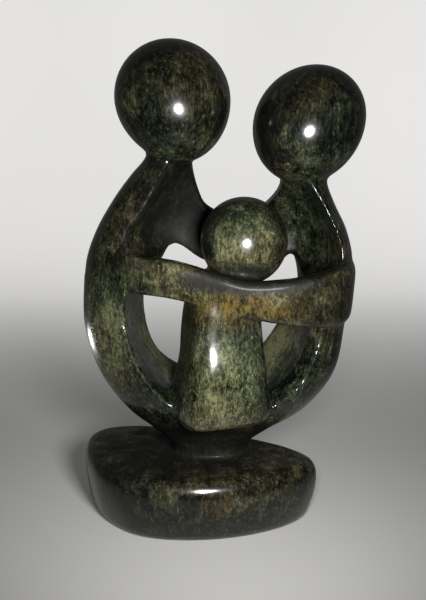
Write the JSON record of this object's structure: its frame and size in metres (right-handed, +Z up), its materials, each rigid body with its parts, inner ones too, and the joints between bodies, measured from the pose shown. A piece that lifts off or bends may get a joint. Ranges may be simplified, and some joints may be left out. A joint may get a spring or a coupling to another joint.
{
  "type": "carved stone family group",
  "caption": "Abstract family group of parents embracing a child, carved together with its base from polished dark green stone.",
  "frame": {"origin": "middle of the bounding box, on the underside of the base", "axes": "+Z up, +X to the viewer's right with the figures facing -Y"},
  "size_m": [0.1393, 0.0827, 0.2363],
  "materials": {
    "polished_serpentine": "high polish, near-black green with fine olive and ochre mottling"
  },
  "bodies": {
    "root": {"family_group": "polished_serpentine"}
  },
  "joints": []
}
